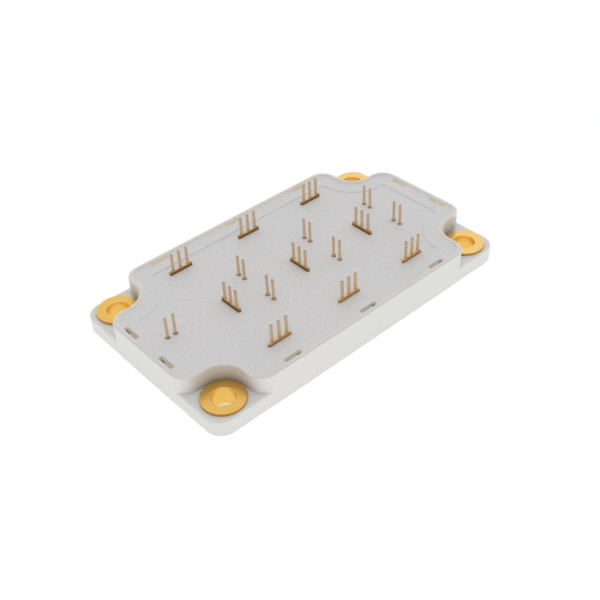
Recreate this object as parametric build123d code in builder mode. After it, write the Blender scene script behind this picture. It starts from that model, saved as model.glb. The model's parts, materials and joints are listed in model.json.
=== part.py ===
from build123d import *
import os

os.makedirs("parts", exist_ok=True)

# Power MOSFET module: three half bridges and a thermistor in one flat moulded case.
# Millimetres. X runs along the long side, Z is up, the origin lies under the middle of the baseplate.

# Case
case_length = 108.0
case_width = 62.0
corner_radius = 5.0
flange_top = 5.0
flange_step = 0.1
rim_top = 10.5
rim_wall = 1.2
cavity_wall = 2.6
frame_lift = 0.1
flange_round = 0.6
rim_round = 0.35
room_share = 0.95
tolerance = 1e-4

# Mounting holes and the scoops that clear the screw heads
mount_inset_x = 7.5
mount_inset_y = 7.0
screw_bore_r = 3.2
bush_barrel_r = 4.3
bush_head_r = 6.1
bush_head_t = 0.8
bush_chamfer = 0.1
bush_lift = 0.1
bush_clearance = 0.05
scoop_clearance = 0.5
flare_radius = 5.2

# Baseplate
plate_t = 3.0
plate_skirt = 1.6
plate_clearance = 0.1
plate_chamfer = 0.3

# Lid
lid_floor = 7.9
lid_top = 10.1
lid_step = 0.3
lid_step_round = 0.25
lid_gap = 0.15
field_inset = 6.1
field_round = 0.9
lid_under_depth = 0.7
lid_under_wall = 1.6
lid_rib_t = 1.2

# Snap latches between case and lid: centre spacing, and the shift that turns with the side
latch_length = 5.6
latch_depth = 1.7
latch_floor_t = 1.1
latch_end_gap = 0.5
latch_pitch_x = 27.4
latch_pitch_y = 15.8
latch_shift = 0.4
latch_end_shift = 0.15
latch_nose = 0.9
latch_nose_land = 0.4
latch_nose_h = 0.9
latch_nose_lip = 0.3
latch_seat = 0.05

# Terminal grid
grid = 2.54
columns = 3
power_row_inset = 9.55
power_row_shift = 0.25
phase_row_y = -1.5
signal_inner_steps = 2
thermistor_inset = 8.3
terminal_tip = 16.7

# Power combs, cut from sheet: three prongs on a bar, a riser and a bent foot
comb_prongs = 3
sheet_t = 0.7
prong_w = 0.64
prong_taper = 0.15
prong_root = 0.5
bar_length = 7.6
bar_round = 0.3
bar_top = 10.75
bar_bottom = 8.5
riser_w = 4.6
foot_length = 2.0
foot_bend = 0.5
slot_end_gap = 0.15
slot_side_gap = 0.12
slot_round = 0.2

# Signal pins
pin_w = 0.64
pin_tip_length = 0.5
pin_tip_w = 0.4
pin_collar_r = 0.6
pin_collar_rise = 0.3
pin_collar_t = 0.8
pin_hole_gap = 0.12
pin_foot_r = 0.9
pin_foot_t = 0.6
pin_guide_wall = 0.7
pin_guide_length = 0.9

# Ceramic tiles and the copper tracks on them
tile_gap = 3.0
tile_shift = 0.3
tile_end = 1.05
tile_t = 0.8
track_t = 0.3
track_margin = 0.5
track_gap = 0.8
track_round = 0.5
phase_track_above = 3.7
minus_track_l = 6.6
pad_x = 2.2
pad_y = 2.0

# Transistor chips, two side by side in each switch, and the ribbons bonded to them
chip_w = 5.0
chip_t = 0.4
chip_setback = 4.6
ribbon_w = 1.2
ribbon_t = 0.2
ribbon_spread = 2.6
ribbon_foot = 1.2
ribbon_rise = 1.5
ribbon_back = 0.7
ribbon_landing = 1.2

# Thermistor board
sensor_tile_x = 7.6
sensor_tile_y = 8.4
sensor_pad_gap = 0.7
sensor_l = 3.2
sensor_w = 1.6
sensor_t = 0.9
sensor_y = -2.6

# Places worked out from the sizes above
half_x = case_length / 2
half_y = case_width / 2
mount_x = half_x - mount_inset_x
mount_y = half_y - mount_inset_y
scoop_radius = bush_head_r + scoop_clearance
power_row_y = half_y - power_row_inset
tile_room = 2 * (mount_x - scoop_radius - cavity_wall - tile_shift)
column_steps = int((tile_room + tile_gap) / columns / grid)
column_pitch = column_steps * grid
tile_w = column_pitch - tile_gap
tile_half_l = power_row_y + tile_end
tile_top = plate_t + tile_t
track_top = tile_top + track_t
chip_top = track_top + chip_t
field_top = lid_top - lid_step
column_xs = [(i - (columns - 1) / 2) * column_pitch for i in range(columns)]
corners = [(sx, sy) for sx in (-1, 1) for sy in (-1, 1)]
signal_x = (column_steps // 2 - 1) * grid
signal_ys = [side * (signal_inner_steps + i) * grid for side in (-1, 1) for i in range(2)]
signal_places = [(x + signal_x, y) for x in column_xs for y in signal_ys]
thermistor_step = round((thermistor_inset - half_x) / grid)
thermistor_places = [((thermistor_step + i) * grid, 0.0) for i in range(2)]
sensor_x = sum(x for x, y in thermistor_places) / len(thermistor_places)
pin_places = thermistor_places + signal_places
power_places = [(x - side * power_row_shift, side * power_row_y) for x in column_xs for side in (1, -1)]
latches_x = [-latch_pitch_x, 0.0, latch_pitch_x]
latches_y = [-latch_pitch_y / 2, latch_pitch_y / 2]
lid_inset = rim_wall + lid_gap
under_inset = cavity_wall + lid_under_wall
nose_root = rim_wall / 2
nose_length = latch_length - 2 * latch_end_gap
nose_bottom = lid_floor + latch_floor_t + latch_seat
pin_hole_r = pin_collar_r + pin_hole_gap


def level(z, x=0.0, y=0.0):
    """Horizontal plane at height z with its origin over (x, y)."""
    return Plane(origin=(x, y, z))


def case_contour(outline, inset, corner_round=None):
    """Outline of the upper case, drawn inward by inset: four sides with a scoop round each screw."""
    side_x = half_x - inset
    side_y = half_y - inset
    radius = scoop_radius + inset
    room_x = side_x - mount_x
    room_y = side_y - mount_y
    Rectangle(2 * side_x, 2 * side_y)
    for sx, sy in corners:
        with Locations((sx * mount_x, sy * mount_y)):
            Circle(radius, mode=Mode.SUBTRACT)
        with Locations((sx * (side_x - (room_x + radius) / 2), sy * (side_y - room_y / 2))):
            Rectangle(room_x + radius, room_y, mode=Mode.SUBTRACT)
        with Locations((sx * (side_x - room_x / 2), sy * (side_y - (room_y + radius) / 2))):
            Rectangle(room_x, room_y + radius, mode=Mode.SUBTRACT)
    edge_x = side_x - tolerance
    edge_y = side_y - tolerance
    flares = [v for v in outline.vertices() if abs(v.X) > edge_x or abs(v.Y) > edge_y]
    wanted = flare_radius - inset if corner_round is None else corner_round
    fillet(flares, radius=min(wanted, room_share * room_x, room_share * room_y))


def latch_cells():
    """Place of each latch on the inside of the rim, and the direction from there into the case."""
    wall_x = half_x - rim_wall
    wall_y = half_y - rim_wall
    cells = []
    for side in (-1, 1):
        cells += [((x - side * latch_shift, side * wall_y), (0, -side)) for x in latches_x]
        cells += [((side * wall_x, y - side * latch_end_shift), (-side, 0)) for y in latches_y]
    return cells


def save(part, name):
    """Label a finished piece and write it to its own file."""
    part.label = name
    export_step(part, f"parts/{name}.step")


# Baseplate: metal plate that carries the tiles and takes the heat away
plate_half_x = half_x - plate_skirt - plate_clearance
plate_half_y = half_y - plate_skirt - plate_clearance
with BuildPart() as baseplate:
    with BuildSketch(level(0)):
        RectangleRounded(2 * plate_half_x, 2 * plate_half_y, corner_radius - plate_skirt - plate_clearance)
        with GridLocations(2 * mount_x, 2 * mount_y, 2, 2):
            Circle(bush_barrel_r + bush_clearance, mode=Mode.SUBTRACT)
    extrude(amount=plate_t)
    chamfer(baseplate.faces().sort_by(Axis.Z)[0].outer_wire().edges(), length=plate_chamfer)
save(baseplate.part, "baseplate")

# Case frame: corner flanges, scooped wall with a rounded rim, lid seat and latch noses
with BuildPart() as flange:
    with BuildSketch(level(frame_lift)):
        RectangleRounded(case_length - 2 * flange_step, case_width - 2 * flange_step, corner_radius)
    extrude(amount=flange_top - frame_lift)
    fillet(flange.faces().sort_by(Axis.Z)[-1].outer_wire().edges(), radius=flange_round)

skirt_x = half_x - plate_skirt
skirt_y = half_y - plate_skirt
with BuildPart() as case_frame:
    with BuildSketch(level(frame_lift)) as wall_outline:
        case_contour(wall_outline, 0)
    extrude(amount=rim_top - frame_lift)
    fillet(case_frame.faces().sort_by(Axis.Z)[-1].outer_wire().edges(), radius=rim_round)
    add(flange.part)
    with BuildSketch(level(rim_top)) as lid_opening:
        case_contour(lid_opening, rim_wall)
    extrude(amount=lid_floor - rim_top, mode=Mode.SUBTRACT)
    with BuildSketch(level(lid_floor)) as cavity:
        case_contour(cavity, cavity_wall)
    extrude(amount=plate_t - lid_floor, mode=Mode.SUBTRACT)
    with BuildSketch(level(frame_lift)):
        RectangleRounded(2 * skirt_x, 2 * skirt_y, corner_radius - plate_skirt)
    extrude(amount=plate_t - frame_lift, mode=Mode.SUBTRACT)
    with BuildSketch(level(plate_t)):
        with GridLocations(2 * mount_x, 2 * mount_y, 2, 2):
            Circle(bush_barrel_r + bush_clearance)
    extrude(amount=flange_top - plate_t, mode=Mode.SUBTRACT)
    for (x, y), (inward_x, inward_y) in latch_cells():
        inward = Vector(inward_x, inward_y, 0)
        along = inward.cross(Vector(0, 0, 1))
        start = Vector(x, y, 0) - along * (nose_length / 2)
        with BuildSketch(Plane(origin=start, x_dir=inward, z_dir=along)):
            with BuildLine():
                Polyline(
                    (-nose_root, nose_bottom),
                    (latch_nose, nose_bottom),
                    (latch_nose, nose_bottom + latch_nose_lip),
                    (latch_nose_land, nose_bottom + latch_nose_h),
                    (-nose_root, nose_bottom + latch_nose_h),
                    close=True,
                )
            make_face()
        extrude(amount=nose_length)
save(case_frame.part, "case_frame")

# Flanged bushings: they line the screw holes and clamp the frame to the baseplate
for number, (sx, sy) in enumerate(corners, 1):
    place = Vector(sx * mount_x, sy * mount_y, 0)
    with BuildPart() as bushing:
        with BuildSketch(Plane(origin=place, x_dir=(1, 0, 0), z_dir=(0, -1, 0))):
            with BuildLine():
                Polyline(
                    (screw_bore_r, bush_lift),
                    (bush_barrel_r, bush_lift),
                    (bush_barrel_r, flange_top),
                    (bush_head_r, flange_top),
                    (bush_head_r, flange_top + bush_head_t - bush_chamfer),
                    (bush_head_r - bush_chamfer, flange_top + bush_head_t),
                    (screw_bore_r + bush_chamfer, flange_top + bush_head_t),
                    (screw_bore_r, flange_top + bush_head_t - bush_chamfer),
                    close=True,
                )
            make_face()
        revolve(axis=Axis(place, (0, 0, 1)))
    save(bushing.part, f"mounting_bushing_{number}")

# Lid: raised border, sunk middle field, slots for the combs, guided holes for the pins, latch pockets
slot_length = bar_length + 2 * slot_end_gap
slot_width = sheet_t + 2 * slot_side_gap
with BuildPart() as lid:
    with BuildSketch(level(lid_floor)) as lid_outline:
        case_contour(lid_outline, lid_inset)
    extrude(amount=lid_top - lid_floor)
    with BuildSketch(level(lid_floor)) as underside:
        case_contour(underside, under_inset)
        with GridLocations(column_pitch, 0, columns - 1, 1):
            Rectangle(lid_rib_t, case_width, mode=Mode.SUBTRACT)
    extrude(amount=lid_under_depth, mode=Mode.SUBTRACT)
    with BuildSketch(level(lid_floor - pin_guide_length)):
        with Locations(pin_places):
            Circle(pin_hole_r + pin_guide_wall)
    extrude(amount=pin_guide_length + lid_under_depth)
    with BuildSketch(level(lid_top)) as field:
        case_contour(field, field_inset, field_round)
    extrude(amount=-lid_step, mode=Mode.SUBTRACT)
    border = lid.faces().sort_by(Axis.Z)[-1]
    fillet(border.inner_wires()[0].edges(), radius=lid_step_round)
    with BuildSketch(level(field_top)):
        with Locations(pin_places):
            Circle(pin_hole_r)
        with Locations(power_places):
            RectangleRounded(slot_length, slot_width, slot_round)
        with Locations([(x, phase_row_y) for x in column_xs]):
            RectangleRounded(slot_width, slot_length, slot_round)
    extrude(amount=-(field_top - lid_floor + pin_guide_length), mode=Mode.SUBTRACT)
    with BuildSketch(level(lid_top)):
        for (x, y), (inward_x, inward_y) in latch_cells():
            with Locations((x + inward_x * latch_depth / 2, y + inward_y * latch_depth / 2)):
                Rectangle(
                    latch_length * abs(inward_y) + latch_depth * abs(inward_x),
                    latch_length * abs(inward_x) + latch_depth * abs(inward_y),
                )
    extrude(amount=lid_floor + latch_floor_t - lid_top, mode=Mode.SUBTRACT)
save(lid.part, "lid")


# Power terminals: sheet combs that stand on the tracks and reach out through the lid
def power_comb(name, x, y, foot_direction):
    """Comb at (x, y): three prongs on a bar, a riser and a foot bent towards foot_direction."""
    normal = Vector(*foot_direction, 0)
    along = Vector(0, 0, 1).cross(normal)
    back = Vector(x, y, 0) - normal * (sheet_t / 2)
    side = Vector(x, y, 0) - along * (riser_w / 2)
    riser_bottom = track_top + sheet_t + 2 * foot_bend
    with BuildPart() as comb:
        with BuildSketch(Plane(origin=back, x_dir=along, z_dir=normal)) as blank:
            with Locations((0, (bar_bottom + bar_top) / 2)):
                Rectangle(bar_length, bar_top - bar_bottom)
            with Locations((0, (riser_bottom + bar_bottom) / 2)):
                Rectangle(riser_w, bar_bottom - riser_bottom)
            with Locations((0, (bar_top + terminal_tip) / 2)):
                with GridLocations(grid, 0, comb_prongs, 1):
                    Rectangle(prong_w, terminal_tip - bar_top)
            shoulder = blank.vertices().filter_by_position(Axis.Y, bar_top - tolerance, bar_top + tolerance)
            shoulder = shoulder.sort_by(Axis.X)
            fillet(shoulder[1:-1], radius=prong_root)
            fillet([shoulder[0], shoulder[-1]], radius=bar_round)
        extrude(amount=sheet_t)
        chamfer(comb.faces().filter_by(Axis.Z).group_by(Axis.Z)[-1].edges(), length=prong_taper)
        with BuildSketch(Plane(origin=side, x_dir=-normal, z_dir=along)) as bend:
            with BuildLine():
                Polyline(
                    (-sheet_t / 2, riser_bottom),
                    (sheet_t / 2, riser_bottom),
                    (sheet_t / 2, track_top),
                    (-sheet_t / 2 - foot_length, track_top),
                    (-sheet_t / 2 - foot_length, track_top + sheet_t),
                    (-sheet_t / 2, track_top + sheet_t),
                    close=True,
                )
            make_face()
            heel = bend.vertices().group_by(Axis.Y)[0].sort_by(Axis.X)[-1]
            fillet(heel, radius=foot_bend + sheet_t)
            crook = bend.vertices().filter_by_position(Axis.X, -sheet_t, 0).group_by(Axis.Y)[0]
            fillet(crook.sort_by(Axis.X)[-1], radius=foot_bend)
        extrude(amount=riser_w)
    save(comb.part, name)


for number, x in enumerate(column_xs, 1):
    power_comb(f"plus_terminal_{number}", x - power_row_shift, power_row_y, (0, -1))
    power_comb(f"minus_terminal_{number}", x + power_row_shift, -power_row_y, (0, 1))
    power_comb(f"phase_terminal_{number}", x, phase_row_y, (-1, 0))

# Signal pins: square pins with a round collar in the lid and a round foot on the track
tip_start = terminal_tip - pin_tip_length
collar_bottom = field_top + pin_collar_rise - pin_collar_t
for number, (x, y) in enumerate(pin_places, 1):
    with BuildPart() as pin:
        with BuildSketch(level(track_top, x, y)):
            Rectangle(pin_w, pin_w)
        extrude(amount=tip_start - track_top)
        with BuildSketch(level(tip_start, x, y)):
            Rectangle(pin_w, pin_w)
        with BuildSketch(level(terminal_tip, x, y)):
            Rectangle(pin_tip_w, pin_tip_w)
        loft()
        with BuildSketch(level(track_top, x, y)):
            Circle(pin_foot_r)
        extrude(amount=pin_foot_t)
        with BuildSketch(level(collar_bottom, x, y)):
            Circle(pin_collar_r)
        extrude(amount=pin_collar_t)
    save(pin.part, f"signal_pin_{number}")

# One half bridge per column: ceramic tile, copper tracks, chips and bonded ribbons
track_end = tile_half_l - track_margin
track_left = tile_shift - tile_w / 2 + track_margin
track_right = signal_x - pad_x / 2 - track_gap
track_w = track_right - track_left
plus_start = phase_row_y + phase_track_above + track_gap
phase_start = minus_track_l + track_gap - track_end
chip_offsets = [track_left + track_w / 4, track_right - track_w / 4]


def track_area(x, low_y, high_y):
    """Copper area across the tile of the column at x, between two heights on the tile."""
    with Locations((x + (track_left + track_right) / 2, (low_y + high_y) / 2)):
        RectangleRounded(track_w, high_y - low_y, track_round)


def ribbon_side(start_y, end_y):
    """Side view of a ribbon bowed from its foot on a chip to its foot on a track, in Y and Z."""
    middle_y = (start_y + end_y) / 2
    peak = (chip_top + track_top) / 2 + ribbon_rise
    over_chip = chip_top + ribbon_t
    over_track = track_top + ribbon_t
    with BuildLine() as outline:
        Line((start_y + ribbon_foot, over_chip), (start_y, over_chip))
        ThreePointArc((start_y, over_chip), (middle_y, peak + ribbon_t), (end_y, over_track))
        Line((end_y, over_track), (end_y - ribbon_foot, over_track))
        Line((end_y - ribbon_foot, over_track), (end_y - ribbon_foot, track_top))
        Line((end_y - ribbon_foot, track_top), (end_y, track_top))
        ThreePointArc((end_y, track_top), (middle_y, peak), (start_y, chip_top))
        Line((start_y, chip_top), (start_y + ribbon_foot, chip_top))
        Line((start_y + ribbon_foot, chip_top), (start_y + ribbon_foot, over_chip))
    return outline.edges()


for number, x in enumerate(column_xs, 1):
    with BuildPart() as tile:
        with BuildSketch(level(plate_t, x + tile_shift, 0)):
            Rectangle(tile_w, 2 * tile_half_l)
        extrude(amount=tile_t)
    save(tile.part, f"ceramic_tile_{number}")

    with BuildPart() as tracks:
        with BuildSketch(level(tile_top)):
            track_area(x, plus_start, track_end)
            track_area(x, phase_start, plus_start - track_gap)
            track_area(x, -track_end, phase_start - track_gap)
            with Locations([(x + signal_x, y) for y in signal_ys]):
                RectangleRounded(pad_x, pad_y, track_round)
        extrude(amount=track_t)
    save(tracks.part, f"copper_tracks_{number}")

    for side, area_start in (("high", plus_start), ("low", phase_start)):
        chip_y = area_start + chip_setback
        landing = area_start - track_gap
        for letter, offset in zip("ab", chip_offsets):
            with BuildPart() as chip:
                with BuildSketch(level(track_top, x + offset, chip_y)):
                    Rectangle(chip_w, chip_w)
                extrude(amount=chip_t)
            save(chip.part, f"{side}_chip_{number}{letter}")
        outline = ribbon_side(chip_y - ribbon_back, landing - ribbon_landing)
        with BuildPart() as ribbons:
            for offset in chip_offsets:
                for shift in (-ribbon_spread / 2, ribbon_spread / 2):
                    ribbon_left = x + offset + shift - ribbon_w / 2
                    with BuildSketch(Plane(origin=(ribbon_left, 0, 0), x_dir=(0, 1, 0), z_dir=(1, 0, 0))):
                        make_face(outline)
                    extrude(amount=ribbon_w)
        save(ribbons.part, f"{side}_ribbons_{number}")

# Thermistor on a small tile of its own, joined to its two pins by two pads
sensor_pad_x = (sensor_tile_x - sensor_pad_gap) / 2 - track_margin
sensor_pad_shift = (sensor_pad_gap + sensor_pad_x) / 2
with BuildPart() as sensor_tile:
    with BuildSketch(level(plate_t, sensor_x, 0)):
        Rectangle(sensor_tile_x, sensor_tile_y)
    extrude(amount=tile_t)
save(sensor_tile.part, "thermistor_tile")

with BuildPart() as sensor_pads:
    with BuildSketch(level(tile_top, sensor_x, 0)):
        with GridLocations(2 * sensor_pad_shift, 0, 2, 1):
            RectangleRounded(sensor_pad_x, sensor_tile_y - 2 * track_margin, track_round)
    extrude(amount=track_t)
save(sensor_pads.part, "thermistor_pads")

with BuildPart() as sensor:
    with BuildSketch(level(track_top, sensor_x, sensor_y)):
        Rectangle(sensor_l, sensor_w)
    extrude(amount=sensor_t)
save(sensor.part, "thermistor")
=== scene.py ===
"""Looks of a power MOSFET module: finishes, softened mouldings, board pins, sealant, camera and light.

Lengths are in metres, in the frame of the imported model: X along the long side, Z up, origin under the baseplate.
A Span holds the two values between which something fades, such as two heights or two distances.
"""

import json
import logging
import math
from collections.abc import Iterable, Sequence
from dataclasses import dataclass
from enum import Enum
from typing import Any

import bmesh
import bpy
from mathutils import Matrix, Vector


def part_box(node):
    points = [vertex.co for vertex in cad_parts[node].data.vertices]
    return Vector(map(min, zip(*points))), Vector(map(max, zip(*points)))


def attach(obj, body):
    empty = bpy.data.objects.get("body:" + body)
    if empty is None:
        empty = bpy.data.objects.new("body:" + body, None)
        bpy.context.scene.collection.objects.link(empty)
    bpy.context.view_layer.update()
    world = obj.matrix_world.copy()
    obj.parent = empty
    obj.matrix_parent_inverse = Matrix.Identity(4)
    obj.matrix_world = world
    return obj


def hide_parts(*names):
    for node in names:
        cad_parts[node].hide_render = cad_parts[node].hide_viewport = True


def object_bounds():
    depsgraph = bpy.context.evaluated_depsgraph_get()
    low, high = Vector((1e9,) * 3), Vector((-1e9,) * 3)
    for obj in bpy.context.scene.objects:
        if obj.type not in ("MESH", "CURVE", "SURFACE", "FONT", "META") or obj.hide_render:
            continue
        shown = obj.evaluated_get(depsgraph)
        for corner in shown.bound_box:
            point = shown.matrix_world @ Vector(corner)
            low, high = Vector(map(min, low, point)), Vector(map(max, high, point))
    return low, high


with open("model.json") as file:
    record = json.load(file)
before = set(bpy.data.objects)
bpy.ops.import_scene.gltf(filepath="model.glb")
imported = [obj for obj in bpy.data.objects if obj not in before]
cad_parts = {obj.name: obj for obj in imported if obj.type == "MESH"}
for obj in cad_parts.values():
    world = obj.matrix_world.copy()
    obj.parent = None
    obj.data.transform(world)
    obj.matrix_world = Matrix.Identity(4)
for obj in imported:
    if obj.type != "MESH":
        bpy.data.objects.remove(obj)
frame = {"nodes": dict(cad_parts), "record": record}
cad_box = [list(corner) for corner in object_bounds()]

Material = bpy.types.Material
Mesh = bpy.types.Mesh
Node = bpy.types.Node
Piece = bpy.types.Object
Socket = bpy.types.NodeSocket
Tree = bpy.types.NodeTree
Colour = tuple[float, float, float]
Point = tuple[float, float, float]
Span = tuple[float, float]
Number = Socket | float
Tone = Socket | Colour

MM = 0.001
WHITE: Colour = (1.0, 1.0, 1.0)
NOISE_SPAN: Span = (0.3, 0.7)
MOTTLE_SPAN: Span = (0.35, 0.65)
ROOT = "root"

logging.basicConfig(level=logging.INFO, format="%(name)s: %(message)s")
log = logging.getLogger("power_module")


class Blend(Enum):
    """Ways of laying one colour over another."""

    MIX = "MIX"
    MULTIPLY = "MULTIPLY"


class Side(Enum):
    """The two sides of the case across an axis."""

    FRONT = -1
    REAR = 1


class NearGreying(Enum):
    """Where sealant is greyed: along both near sides, or only in the corner between them."""

    SIDES = "MAXIMUM"
    CORNER = "MINIMUM"


class Sheet:
    """A node tree with short ways to add and join its nodes."""

    def __init__(self, tree: Tree) -> None:
        """Wrap a shader or geometry tree."""
        self.tree = tree

    def add(self, kind: str, inputs: dict[str | int, Any] | None = None, **settings: Any) -> Node:
        """Add a node.

        Args:
            kind: Blender's name of the node type.
            inputs: sockets or constants for its inputs, by name or number.
            settings: properties of the node.

        Returns:
            The new node.
        """
        node = self.tree.nodes.new(kind)
        for name, value in settings.items():
            setattr(node, name, value)
        for key, value in (inputs or {}).items():
            self.feed(node.inputs[key], value)
        return node

    def make(self, kind: str, inputs: dict[str | int, Any] | None = None, **settings: Any) -> Socket:
        """Add a node and return its first output."""
        return self.add(kind, inputs, **settings).outputs[0]

    def feed(self, socket: Socket, value: Any) -> None:
        """Join an output to an input, or set the input's constant.

        Args:
            socket: the input.
            value: the output or the constant; a colour is given without alpha.
        """
        if isinstance(value, Socket):
            self.tree.links.new(value, socket)
        else:
            socket.default_value = (*value, 1.0) if socket.type == "RGBA" else value

    def math(self, operation: str, *operands: Number) -> Socket:
        """Result of a Math node."""
        return self.make("ShaderNodeMath", dict(enumerate(operands)), operation=operation)

    def product(self, first: Number, *others: Number) -> Number:
        """Product of all the values.

        Args:
            first: the first of them.
            others: the others.

        Returns:
            The product.
        """
        for other in others:
            first = self.math("MULTIPLY", first, other)
        return first

    def between(self, share: Number, first: Number, second: Number) -> Socket:
        """Value that goes from the first to the second by a share."""
        return self.math("MULTIPLY_ADD", share, self.math("SUBTRACT", second, first), first)

    def split(self, vector: Socket) -> list[Socket]:
        """X, Y and Z of a vector."""
        return list(self.add("ShaderNodeSeparateXYZ", {"Vector": vector}).outputs)

    def remap(self, value: Socket, span: Span, at_low: Number, at_high: Number) -> Socket:
        """Map a value to another range, clamped and smooth at both ends.

        Args:
            value: the value.
            span: the range that it is mapped from.
            at_low: the result at the lower end of the span.
            at_high: the result at its upper end.

        Returns:
            The result.
        """
        low, high = span
        ends = {"Value": value, "From Min": low, "From Max": high, "To Min": at_low, "To Max": at_high}
        return self.make("ShaderNodeMapRange", ends, interpolation_type="SMOOTHSTEP")

    def rise(self, value: Socket, span: Span, share: Number = 1.0) -> Socket:
        """Go from nothing to a share over a span of the value."""
        return self.remap(value, span, 0.0, share)

    def fall(self, value: Socket, span: Span, share: Number = 1.0) -> Socket:
        """Go from a share to nothing over a span of the value."""
        return self.remap(value, span, share, 0.0)

    def tint(self, share: Number, first: Tone, second: Tone, blend: Blend = Blend.MIX) -> Socket:
        """Lay the second colour over the first.

        Args:
            share: how much of the second shows.
            first: the lower colour.
            second: the upper colour.
            blend: how it is laid.

        Returns:
            The colour.
        """
        factor, lower, upper, result = 0, 6, 7, 2
        inputs = {factor: share, lower: first, upper: second}
        return self.add("ShaderNodeMix", inputs, data_type="RGBA", blend_type=blend.value).outputs[result]

    def noise(self, place: Socket, size: Number, detail: float = 2.0, roughness: float = 0.5) -> Socket:
        """Noise as a value from 0 to 1.

        Args:
            place: where the noise is read.
            size: about how large its features are.
            detail: how many finer layers it has.
            roughness: how much the finer layers show.

        Returns:
            The value.
        """
        scale = self.math("DIVIDE", 1.0, size)
        inputs = {"Vector": place, "Scale": scale, "Detail": detail, "Roughness": roughness}
        return self.make("ShaderNodeTexNoise", inputs)


def spelt(label: str) -> str:
    """Name of a socket, from a label with underscores."""
    return label.replace("_", " ").title()


class EffectGroup(Sheet):
    """A shader node group in the making, which works on the vector Place."""

    def __init__(self, name: str, **sizes: float) -> None:
        """Start a group.

        Args:
            name: its name.
            sizes: the labels of its further inputs, with their defaults.
        """
        super().__init__(bpy.data.node_groups.new(name, "ShaderNodeTree"))
        self.tree.interface.new_socket(name="Place", in_out="INPUT", socket_type="NodeSocketVector")
        for label, size in sizes.items():
            socket = self.tree.interface.new_socket(name=spelt(label), in_out="INPUT", socket_type="NodeSocketFloat")
            socket.default_value = size
        self.given = self.add("NodeGroupInput").outputs

    def end(self, **results: Socket) -> Tree:
        """End the group.

        Args:
            results: what it puts out, by label.

        Returns:
            The group.
        """
        for label in results:
            self.tree.interface.new_socket(name=spelt(label), in_out="OUTPUT", socket_type="NodeSocketFloat")
        self.add("NodeGroupOutput", {spelt(label): value for label, value in results.items()})
        return self.tree


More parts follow.
